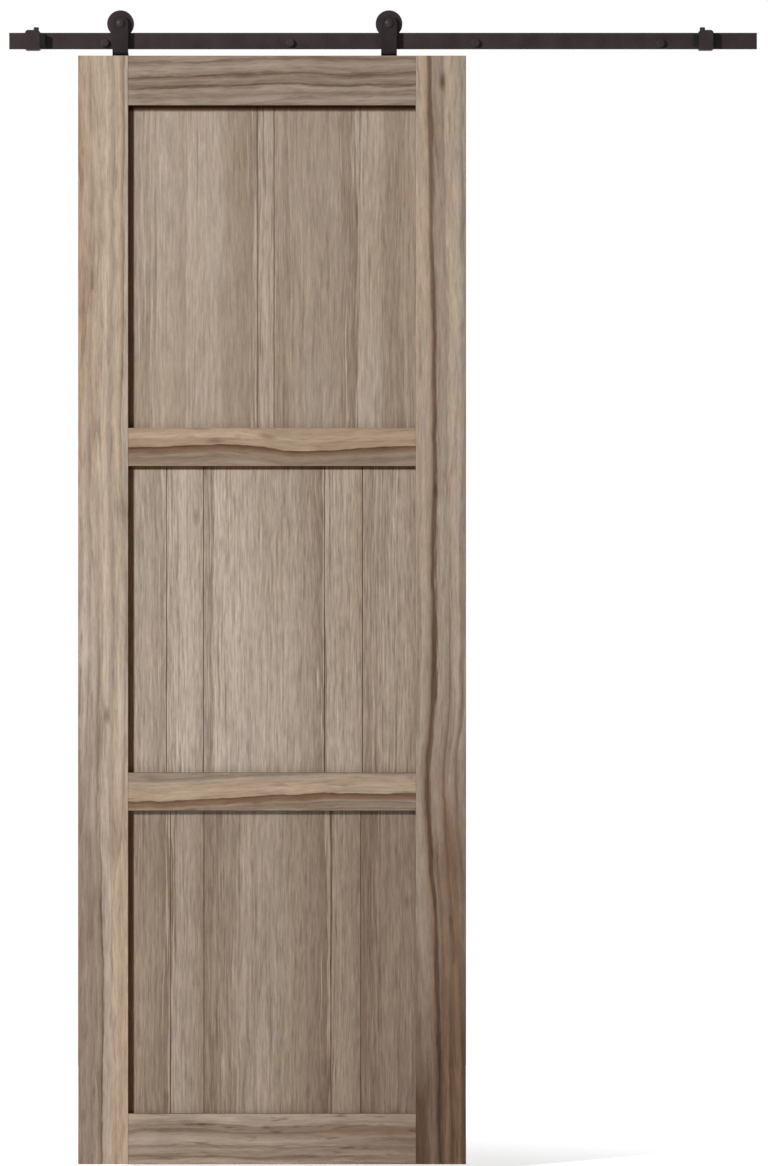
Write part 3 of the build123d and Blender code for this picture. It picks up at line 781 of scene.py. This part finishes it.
def finish_piece(bm, name, body, material, stands_for=None):
    """Makes a piece from a bmesh, lets it ride on a body, and puts it in the place of a node."""
    bmesh.ops.recalc_face_normals(bm, faces=bm.faces)
    mesh = bpy.data.meshes.new(name)
    bm.to_mesh(mesh)
    bm.free()
    mesh.materials.append(bpy.data.materials[material])
    mesh.shade_smooth()
    mesh.set_sharp_from_angle(angle=math.radians(32))
    piece = bpy.data.objects.new(name, mesh)
    bpy.context.scene.collection.objects.link(piece)
    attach(piece, body)
    if stands_for:
        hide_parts(stands_for)


class BARNDOOR_OT_leaf_frame(bpy.types.Operator):
    """Weathered wood on the stiles, rails and dowels, with painted shade on the frame's inner
    edges
    """

    bl_idname = "barndoor.leaf_frame"
    bl_label = "Leaf frame"

    def execute(self, context):
        for node, plan in FRAME_WOOD.items():
            low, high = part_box(node)
            # Painted shade on the inner edges of each piece, the reveals round the panels
            painted_edge_shade = {
                "left_stile": ((0, high.x, 1),),
                "right_stile": ((0, low.x, -1),),
                "top_rail": ((2, low.z, -1),),
                "upper_mid_rail": ((2, low.z, -1), (2, high.z, 1)),
                "lower_mid_rail": ((2, low.z, -1), (2, high.z, 1)),
                "bottom_rail": ((2, high.z, 1),),
            }
            dress(node, wood_material(node, {**plan, "painted_edge_shade": painted_edge_shade.get(node, ())}))
        return {"FINISHED"}


class BARNDOOR_OT_leaf_panels(bpy.types.Operator):
    """Staved panels, dirt in the joint lines and painted shadow along the left and top edges"""

    bl_idname = "barndoor.leaf_panels"
    bl_label = "Leaf panels"

    def execute(self, context):
        width = OPENING_RIGHT - OPENING_LEFT
        middle = (OPENING_LEFT + OPENING_RIGHT) / 2
        above = {
            "upper_panel": "top_rail",
            "middle_panel": "upper_mid_rail",
            "lower_panel": "lower_mid_rail",
        }
        for node, plan in PANEL_WOOD.items():
            bands = [((share - 0.5) * width / MM, name) for share, name in plan["stops"]]
            # The margins paint shadow beside the left stile and under the rail above each panel
            left, top, tint = plan["margins"]
            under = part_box(above[node])[0].z
            painted_margin_shade = ((0, OPENING_LEFT, -1, left, "margin_shade_tint"), (2, under, 1, top, tint))
            made = {**plan, "bands": ((0.5, bands),), "middle": middle, "painted_margin_shade": painted_margin_shade}
            dress(node, wood_material(node, made))
        return {"FINISHED"}


class BARNDOOR_OT_track(bpy.types.Operator):
    """Black coat on the track, spacers, stops, straps and wheels, and rubber on the bumpers"""

    bl_idname = "barndoor.track"
    bl_label = "Track and hangers"

    def execute(self, context):
        look = context.scene.barn_steel
        coat = coated_steel("black_coat", look.coat, 0.50)
        for node in ("track_rail", "end_stop_left", "end_stop_right", *WALL_SPACERS):
            dress(node, coat)
        strap = coated_steel("strap_coat", look.hanger_coat, 0.48)
        wheel = coated_steel("wheel_coat", look.coat, 0.42)
        rubber = moulded_rubber("bumper_rubber", look.rubber)
        for side in SIDES:
            dress(f"hanger_strap_{side}", strap)
            dress(f"wheel_{side}", wheel)
            dress(f"stop_bumper_{side}", rubber)
        return {"FINISHED"}


class BARNDOOR_OT_fasteners(bpy.types.Operator):
    """Black oxide and zinc on the screws, bolts, nuts and bearings"""

    bl_idname = "barndoor.fasteners"
    bl_label = "Fasteners and bearings"

    def execute(self, context):
        look = context.scene.barn_steel
        oxide = coated_steel("black_oxide", look.fastener, 0.36)
        for node in ("lag_screws", "lag_washers", "stop_set_screws"):
            dress(node, oxide)
        zinc = plated_steel("zinc_plate", look.zinc)
        for side in SIDES:
            dress(f"axle_bolt_{side}", oxide)
            for node in (
                "foot_screws", "axle_bush", "bearing_inner_ring", "bearing_outer_ring",
                "axle_washer", "axle_nut",
            ):
                dress(f"{node}_{side}", zinc)
        return {"FINISHED"}


class BARNDOOR_OT_lag_screws(bpy.types.Operator):
    """Hex lag screws with a coarse wood thread, and their washers"""

    bl_idname = "barndoor.lag_screws"
    bl_label = "Lag screws and washers"

    def execute(self, context):
        places = []
        for node in WALL_SPACERS:
            low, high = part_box(node)
            places.append(Vector(((low.x + high.x) / 2, 0, (low.z + high.z) / 2)))
        self.add_screws(places)
        self.add_washers(places)
        return {"FINISHED"}

    def add_screws(self, places):
        """A hex head, shank, thread and point at each place, sizes in mm."""
        low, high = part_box("lag_screws")
        head, tip = -low.y / MM, -high.y / MM
        under = -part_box("lag_washers")[0].y / MM
        half_flats = (high.z - low.z) / 2 / MM
        corner = half_flats / math.cos(math.pi / 6)
        shank, root, crest, neck = 4, 3.5, 4.1, 0.4
        point = (tip + 7, tip)
        bm = bmesh.new()
        turned(bm, (
            (0, head), (half_flats - 0.6, head), (corner, head - 1.1), (corner, under),
            (shank, under), (shank, neck), (root, 0), (root, point[0]), (1.6, tip + 2.4), (0, tip),
        ), 72)
        cut_flats(bm, half_flats)
        wood_thread(bm, root - 0.1, crest, -2, tip + 1.5, point)
        set_out(bm, FACE_FORWARD, places)
        finish_piece(
            bm, "lag_screw_set", "track", "black_oxide", "lag_screws"
        )

    def add_washers(self, places):
        """A washer with rounded edges at each place, sizes in mm."""
        low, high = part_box("lag_washers")
        front, back = -low.y / MM, -high.y / MM
        outer = (high.z - low.z) / 2 / MM
        bore = 4.3
        bm = bmesh.new()
        turned(bm, (
            (bore, front), (outer - 0.5, front), (outer - 0.12, front - 0.14),
            (outer, front - 0.5), (outer, back + 0.3), (outer - 0.1, back), (bore, back),
            (bore, front),
        ), 64)
        set_out(bm, FACE_FORWARD, places)
        finish_piece(
            bm, "lag_washer_set", "track", "black_oxide", "lag_washers"
        )


class BARNDOOR_OT_clamp_screws(bpy.types.Operator):
    """Knurled cap screws with a hex socket, on top of the stops"""

    bl_idname = "barndoor.clamp_screws"
    bl_label = "Clamp screws"

    def execute(self, context):
        low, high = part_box("stop_set_screws")
        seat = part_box("end_stop_left")[1].z
        radius = (high.y - low.y) / 2 / MM
        height = (high.z - seat) / MM
        shank, end = 3, (low.z - seat) / MM
        socket, socket_depth, socket_cone = 2.89, 3, 0.7
        knurls, knurl_valley = 36, 0.955

        bm = bmesh.new()
        count = 2 * knurls
        loops = [ring(bm, radius - 0.4, 0, count)[1]]
        for level in (0.3, height - 1.4):
            verts, edges = ring(bm, radius, level, count)
            bmesh.ops.scale(bm, vec=(knurl_valley, knurl_valley, 1), verts=verts[::2])
            loops.append(edges)
        for inset, drop in ((0.3, 1.1), (0.45, 0.4), (0.8, 0)):
            loops.append(ring(bm, radius - inset, height - drop, count)[1])
        for corner, drop in (
            (socket + 0.26, 0), (socket, 0.3), (socket, socket_depth),
            (0.4, socket_depth + socket_cone),
        ):
            loops.append(ring(bm, corner, height - drop, 6)[1])
        loft(bm, loops)
        bmesh.ops.edgeloop_fill(bm, edges=loops[0])
        bmesh.ops.edgeloop_fill(bm, edges=loops[-1])
        turned(bm, ((0, 0.1), (shank, 0.1), (shank, end), (0, end)), 32)
        middle = (low.y + high.y) / 2
        ends = [low.x + radius * MM, high.x - radius * MM]
        set_out(bm, Matrix.Identity(4), [Vector((x, middle, seat)) for x in ends])
        finish_piece(
            bm, "stop_cap_screws", "track", "black_oxide", "stop_set_screws"
        )
        return {"FINISHED"}


class BARNDOOR_OT_foot_screws(bpy.types.Operator):
    """Countersunk wood screws with a cross recess, through the feet of the straps"""

    bl_idname = "barndoor.foot_screws"
    bl_label = "Foot screws"

    def execute(self, context):
        shank, point = 2.1, 5
        recess_reach, recess_arm = 2.3, 0.5
        for side in SIDES:
            low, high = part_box(f"foot_screws_{side}")
            radius = (high.x - low.x) / 2 / MM
            length = (high.z - low.z) / MM
            bm = bmesh.new()
            recess = self.add_recess(bm, recess_reach, recess_arm)
            rings = (
                (radius - 0.25, 0), (radius, -0.2), (shank, -2.2), (shank, point - length),
                (0.2, -length),
            )
            loops = [ring(bm, *sizes, 32)[1] for sizes in rings]
            bmesh.ops.triangle_fill(
                bm, edges=[*recess, *loops[0]], use_beauty=True, normal=(0, 0, 1)
            )
            loft(bm, loops)
            bmesh.ops.edgeloop_fill(bm, edges=loops[-1])
            middle = (low.x + high.x) / 2
            rows = (low.y + radius * MM, high.y - radius * MM)
            set_out(bm, Matrix.Identity(4), [Vector((middle, y, high.z)) for y in rows])
            finish_piece(
                bm, f"foot_screw_pair_{side}", "door", "zinc_plate",
                f"foot_screws_{side}",
            )
        return {"FINISHED"}

    def add_recess(self, bm, reach, arm):
        """Sinks a cross, reach and half an arm's width in mm, and gives the edges of its mouth."""
        depth, floor_share = 1.7, 0.45
        verts = bmesh.ops.create_grid(bm, x_segments=3, y_segments=3, size=reach * MM)["verts"]
        for axis in (0, 1):
            inner = [vert for vert in verts if abs(vert.co[axis]) < 0.6 * reach * MM]
            factor = Vector((1, 1, 1))
            factor[axis] = 3 * arm / reach
            bmesh.ops.scale(bm, vec=factor, verts=inner)
        corners, cross = [], []
        for face in bm.faces:
            middle = face.calc_center_median()
            corner = min(abs(middle.x), abs(middle.y)) > arm * MM
            (corners if corner else cross).append(face)
        bmesh.ops.delete(bm, geom=corners, context="FACES")
        sunk = bmesh.ops.extrude_face_region(bm, geom=cross)["geom"]
        floor = [item for item in sunk if isinstance(item, bmesh.types.BMVert)]
        bmesh.ops.scale(bm, vec=(floor_share, floor_share, 1), verts=floor)
        bmesh.ops.translate(bm, vec=(0, 0, -depth * MM), verts=floor)
        bmesh.ops.delete(bm, geom=cross, context="FACES")
        return [edge for edge in bm.edges if edge.is_boundary]


class BARNDOOR_OT_bearing_seals(bpy.types.Operator):
    """Rubber seals on both sides of the wheel bearings"""

    bl_idname = "barndoor.bearing_seals"
    bl_label = "Bearing seals"

    def execute(self, context):
        inner, outer, sunk = 6.1, 9.2, 0.5
        lip = (
            (inner, 0.02), (inner, 0.30), (inner + 0.4, 0.40), (outer - 1.0, 0.40),
            (outer - 0.7, 0.24), (outer - 0.1, 0.24), (outer, 0.02), (inner, 0.02),
        )
        for side in SIDES:
            low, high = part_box(f"bearing_outer_ring_{side}")
            half = (high.y - low.y) / 2 / MM
            bm = bmesh.new()
            for face in (1, -1):
                turned(bm, [(radius, face * (half - sunk + rise)) for radius, rise in lip], 64)
            set_out(bm, FACE_FORWARD, [(low + high) / 2])
            finish_piece(
                bm, f"bearing_seals_{side}", f"{side}_roller", "bumper_rubber"
            )
        return {"FINISHED"}


class BARNDOOR_OT_stage(bpy.types.Operator):
    """Floor, lamps, white surround and camera"""

    bl_idname = "barndoor.stage"
    bl_label = "Stage"

    def execute(self, context):
        look = context.scene.barn_stage
        context.scene.view_settings.view_transform = "Standard"
        self.add_floor(LEAF_LOW.z - look.floor_gap)
        self.add_world(look.fill)
        middle = (LEAF_LOW + LEAF_HIGH) / 2
        for name, power, size, offset in (
            ("key_lamp", look.key_power, look.key_size, (-5.3, -6.1, 3.4)),
            ("back_lamp_right", look.back_power, look.back_size, (2.6, 3.0, 1.0)),
            ("back_lamp_left", look.back_power, look.back_size, (-2.8, 2.8, 0.8)),
        ):
            self.add_lamp(name, power, size, middle + Vector(offset), middle)
        self.add_camera(look.distance)
        return {"FINISHED"}

    def seen_rays(self, tree):
        """One for rays from the camera, also by way of gloss or glass, and nought for others."""
        rays = add_node(tree, "ShaderNodeLightPath").outputs
        seen = maths(tree, "MAXIMUM", rays["Is Camera Ray"], rays["Is Glossy Ray"])
        return maths(tree, "MAXIMUM", seen, rays["Is Transmission Ray"])

    def add_floor(self, level):
        """A pale floor that glows to white away from the leaf, and keeps its shadow near it."""
        half_width, near, far = 3.2, 0.5, 2.0
        near_glow, far_glow = 0.35, 0.85
        bm = bmesh.new()
        centre = Matrix.Translation((-0.2, -0.2, level))
        bmesh.ops.create_grid(bm, x_segments=1, y_segments=1, size=half_width, matrix=centre)
        mesh = bpy.data.meshes.new("studio_floor")
        bm.to_mesh(mesh)
        bm.free()
        made, tree, shader, coords = start_material("studio_floor_paint")
        shader.inputs["Base Color"].default_value = (0.80, 0.80, 0.80, 1.0)
        shader.inputs["Roughness"].default_value = 0.9
        shader.inputs["Emission Color"].default_value = WHITE
        foot = ((LEAF_LOW.x + LEAF_HIGH.x) / 2, (LEAF_LOW.y + LEAF_HIGH.y) / 2, level)
        away = add_node(
            tree, "ShaderNodeVectorMath", {0: coords, 1: foot}, operation="DISTANCE"
        ).outputs["Value"]
        glow = spread(tree, away, near, far, near_glow, far_glow)
        glow = maths(tree, "MULTIPLY", self.seen_rays(tree), glow)
        tree.links.new(glow, shader.inputs["Emission Strength"])
        mesh.materials.append(made)
        floor = bpy.data.objects.new("studio_floor", mesh)
        bpy.context.scene.collection.objects.link(floor)

    def add_world(self, fill):
        """White where it is seen, and a soft fill light."""
        world = bpy.data.worlds.new("studio_white")
        world.use_nodes = True
        tree = world.node_tree
        back = tree.nodes["Background"]
        back.inputs["Color"].default_value = WHITE
        strength = spread(tree, self.seen_rays(tree), 0.0, 1.0, fill, 1.0)
        tree.links.new(strength, back.inputs["Strength"])
        bpy.context.scene.world = world

    def add_lamp(self, name, power, size, place, target):
        """A square lamp that faces a target."""
        lamp = bpy.data.lights.new(name, "AREA")
        lamp.energy = power
        lamp.size = size
        made = bpy.data.objects.new(name, lamp)
        made.location = place
        made.rotation_euler = (target - place).to_track_quat("-Z", "Y").to_euler()
        bpy.context.scene.collection.objects.link(made)

    def add_camera(self, distance):
        """A camera square to the leaf's front, far back so that lines stay straight."""
        view_height = 2.13693
        view_middle = Vector((0.0017, LEAF_LOW.y, -0.9906))
        camera = bpy.data.cameras.new("front_camera")
        camera.sensor_width = 36.0
        camera.lens = camera.sensor_width * distance / view_height
        camera.clip_end = 50.0
        made = bpy.data.objects.new("front_camera", camera)
        made.location = view_middle + Vector((0, -distance, 0))
        made.rotation_euler = (math.pi / 2, 0, 0)
        bpy.context.scene.collection.objects.link(made)
        bpy.context.scene.camera = made


STEPS = (
    BARNDOOR_OT_leaf_frame,
    BARNDOOR_OT_leaf_panels,
    BARNDOOR_OT_track,
    BARNDOOR_OT_fasteners,
    BARNDOOR_OT_lag_screws,
    BARNDOOR_OT_clamp_screws,
    BARNDOOR_OT_foot_screws,
    BARNDOOR_OT_bearing_seals,
    BARNDOOR_OT_stage,
)


class BARNDOOR_PT_sidebar(bpy.types.Panel):
    """Lists the settings and steps of the barn door"""

    bl_idname = "BARNDOOR_PT_sidebar"
    bl_label = "Sliding barn door"
    bl_space_type = "VIEW_3D"
    bl_region_type = "UI"
    bl_category = "Barn Door"

    def draw(self, context):
        scene = context.scene
        for look in (scene.barn_wood, scene.barn_steel, scene.barn_stage):
            box = self.layout.box()
            for name in look.__annotations__:
                box.prop(look, name)
        for step in STEPS:
            self.layout.operator(step.bl_idname)


CLASSES = (WoodLook, SteelLook, StageLook, *STEPS, BARNDOOR_PT_sidebar)


def register():
    for item in CLASSES:
        bpy.utils.register_class(item)
    bpy.types.Scene.barn_wood = PointerProperty(type=WoodLook)
    bpy.types.Scene.barn_steel = PointerProperty(type=SteelLook)
    bpy.types.Scene.barn_stage = PointerProperty(type=StageLook)


def unregister():
    del bpy.types.Scene.barn_stage
    del bpy.types.Scene.barn_steel
    del bpy.types.Scene.barn_wood
    for item in reversed(CLASSES):
        bpy.utils.unregister_class(item)


def main():
    register()
    bpy.ops.barndoor.leaf_frame()
    bpy.ops.barndoor.leaf_panels()
    bpy.ops.barndoor.track()
    bpy.ops.barndoor.fasteners()
    bpy.ops.barndoor.lag_screws()
    bpy.ops.barndoor.clamp_screws()
    bpy.ops.barndoor.foot_screws()
    bpy.ops.barndoor.bearing_seals()
    bpy.ops.barndoor.stage()


if __name__ == "__main__":
    main()
